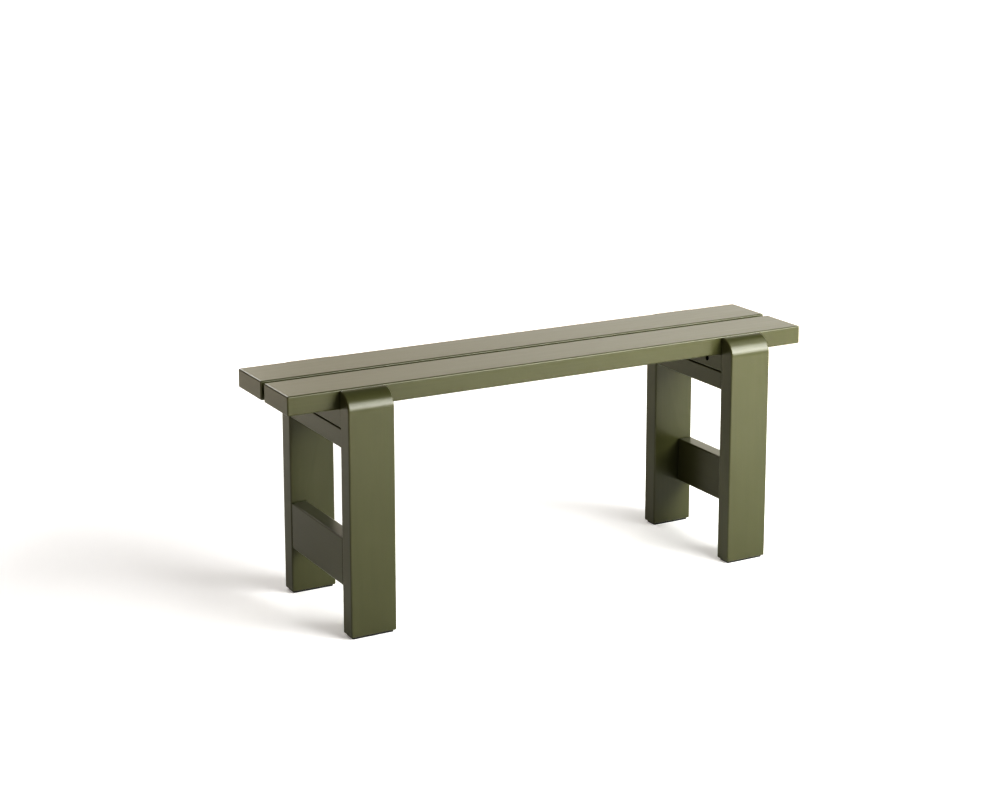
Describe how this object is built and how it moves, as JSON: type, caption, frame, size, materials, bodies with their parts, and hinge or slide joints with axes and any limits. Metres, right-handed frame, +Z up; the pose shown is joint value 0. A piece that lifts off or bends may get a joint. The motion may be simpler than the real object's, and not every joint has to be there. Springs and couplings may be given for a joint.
{
  "type": "backless bench",
  "caption": "Backless wooden bench: plank seat with a lengthwise gap, on board legs with rounded-over tops outside the seat, joined by rails and stretchers.",
  "frame": {"origin": "on the floor, under the middle of the bench", "axes": "+X along the seat to the right-hand end, +Y to the rear, +Z up"},
  "size_m": [1.11, 0.302, 0.457],
  "materials": {
    "lacquered_pine": "pine with a satin olive-green lacquer, grain showing faintly",
    "beech_dowel": "plain beech",
    "zinc_steel": "zinc-plated steel",
    "glide_plastic": "black moulded plastic"
  },
  "bodies": {
    "root": {"seat_plank_front": "lacquered_pine", "seat_plank_rear": "lacquered_pine", "seat_cleat_left": "lacquered_pine", "seat_cleat_right": "lacquered_pine", "upper_rail_left": "lacquered_pine", "upper_rail_right": "lacquered_pine", "stretcher_left": "lacquered_pine", "stretcher_right": "lacquered_pine", "leg_front_left": "lacquered_pine", "leg_rear_left": "lacquered_pine", "leg_front_right": "lacquered_pine", "leg_rear_right": "lacquered_pine", "foot_glide_front_left": "glide_plastic", "foot_glide_rear_left": "glide_plastic", "foot_glide_front_right": "glide_plastic", "foot_glide_rear_right": "glide_plastic", "glide_screws_front_left": "zinc_steel", "glide_screws_rear_left": "zinc_steel", "glide_screws_front_right": "zinc_steel", "glide_screws_rear_right": "zinc_steel", "rail_dowels_front_left": "beech_dowel", "rail_dowels_rear_left": "beech_dowel", "rail_dowels_front_right": "beech_dowel", "rail_dowels_rear_right": "beech_dowel", "stretcher_dowels_front_left": "beech_dowel", "stretcher_dowels_rear_left": "beech_dowel", "stretcher_dowels_front_right": "beech_dowel", "stretcher_dowels_rear_right": "beech_dowel", "seat_screws_left": "zinc_steel", "seat_screws_right": "zinc_steel", "frame_bolts_left": "zinc_steel", "frame_bolts_right": "zinc_steel", "bolt_washers_left": "zinc_steel", "bolt_washers_right": "zinc_steel", "barrel_nuts_left": "zinc_steel", "barrel_nuts_right": "zinc_steel"}
  },
  "joints": []
}
